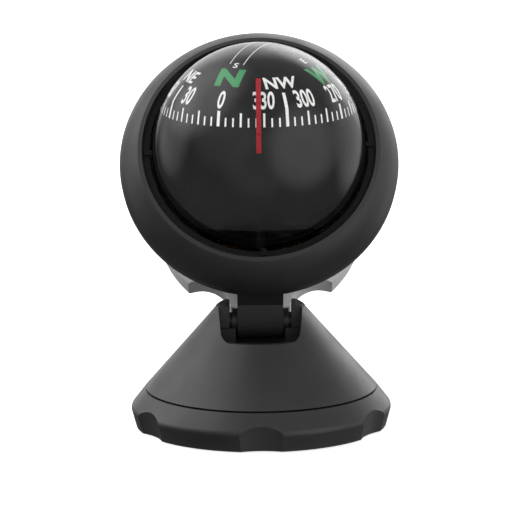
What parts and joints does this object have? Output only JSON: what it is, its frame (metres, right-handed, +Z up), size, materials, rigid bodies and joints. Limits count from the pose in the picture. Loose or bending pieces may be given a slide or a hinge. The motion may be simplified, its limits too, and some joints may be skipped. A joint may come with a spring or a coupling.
{
  "type": "dashboard ball compass",
  "caption": "Liquid-filled ball compass in a black tilting bezel head with a grey rear housing, on a swivelling cone pedestal and a scalloped adhesive base.",
  "frame": {"origin": "centre of the adhesive pad's underside", "axes": "+Z up, -Y towards the reader of the card, +X to the reader's right"},
  "size_m": [0.0604, 0.0771, 0.0833],
  "materials": {
    "pad_foam": "foam",
    "base_black": "fine satin texture",
    "cone_black": "fine satin texture",
    "bezel_black": "fine satin texture",
    "retainer_black": "semi gloss",
    "bowl_black": "gloss",
    "housing_grey": "satin",
    "corrector_grey": "satin",
    "dome_clear": "polished acrylic",
    "fluid_clear": "clear mineral oil",
    "seal_rubber": "matt",
    "washer_nylon": "natural nylon",
    "lubber_red": "semi gloss",
    "screw_steel": "zinc plated",
    "magnet_grey": "nickel plated",
    "brass_plain": "turned",
    "brass_blacked": "blackened",
    "jewel_ruby": "polished synthetic sapphire",
    "card_black": "smooth matt",
    "print_white": "screen-printed ink",
    "print_green": "screen-printed ink"
  },
  "bodies": {
    "base": {"adhesive_pad": "pad_foam", "base_plate": "base_black", "base_ring": "base_black", "plate_screws": "screw_steel", "glide_washer": "washer_nylon"},
    "pedestal": {"pedestal_cone": "cone_black", "swivel_washer": "screw_steel", "swivel_screw": "screw_steel", "hinge_pin": "screw_steel"},
    "head": {"bezel": "bezel_black", "retaining_ring": "retainer_black", "front_dome": "dome_clear", "capsule_seal": "seal_rubber", "rear_bowl": "bowl_black", "fill_plug": "bowl_black", "expansion_diaphragm": "seal_rubber", "diaphragm_cover": "bowl_black", "damping_fluid": "fluid_clear", "lubber_line": "lubber_red", "pivot_post": "brass_blacked", "pivot_needle": "screw_steel", "rear_housing": "housing_grey", "corrector_screw": "screw_steel"},
    "corrector": {"corrector_ring": "corrector_grey", "corrector_magnets": "magnet_grey", "corrector_cap": "corrector_grey"},
    "jewel": {"jewel_stone": "jewel_ruby"},
    "cup": {"jewel_cup": "brass_plain"},
    "card": {"card_shell": "card_black", "card_spider": "card_black", "card_magnets": "magnet_grey", "card_weight": "brass_blacked"}
  },
  "joints": [
    {"name": "base_swivel", "type": "hinge", "parent": "base", "child": "pedestal", "pos_m": [0, 0, 0.0084], "axis": [0, 0, 1], "continuous": true},
    {"name": "head_tilt", "type": "hinge", "parent": "pedestal", "child": "head", "pos_m": [0, 0, 0.0227], "axis": [1, 0, 0], "range_deg": [-12, 28]},
    {"name": "corrector_turn", "type": "hinge", "parent": "head", "child": "corrector", "pos_m": [0, 0.03496, 0.03898], "axis": [0, -0.8526, 0.5225], "range_deg": [-90, 90]},
    {"name": "card_roll", "type": "hinge", "parent": "head", "child": "jewel", "pos_m": [0, 0, 0.0604], "axis": [0, 1, 0], "range_deg": [-20, 20]},
    {"name": "card_pitch", "type": "hinge", "parent": "jewel", "child": "cup", "pos_m": [0, 0, 0.0604], "axis": [1, 0, 0], "range_deg": [-30, 30]},
    {"name": "card_spin", "type": "hinge", "parent": "cup", "child": "card", "pos_m": [0, 0, 0.0604], "axis": [0, 0, 1], "continuous": true}
  ]
}
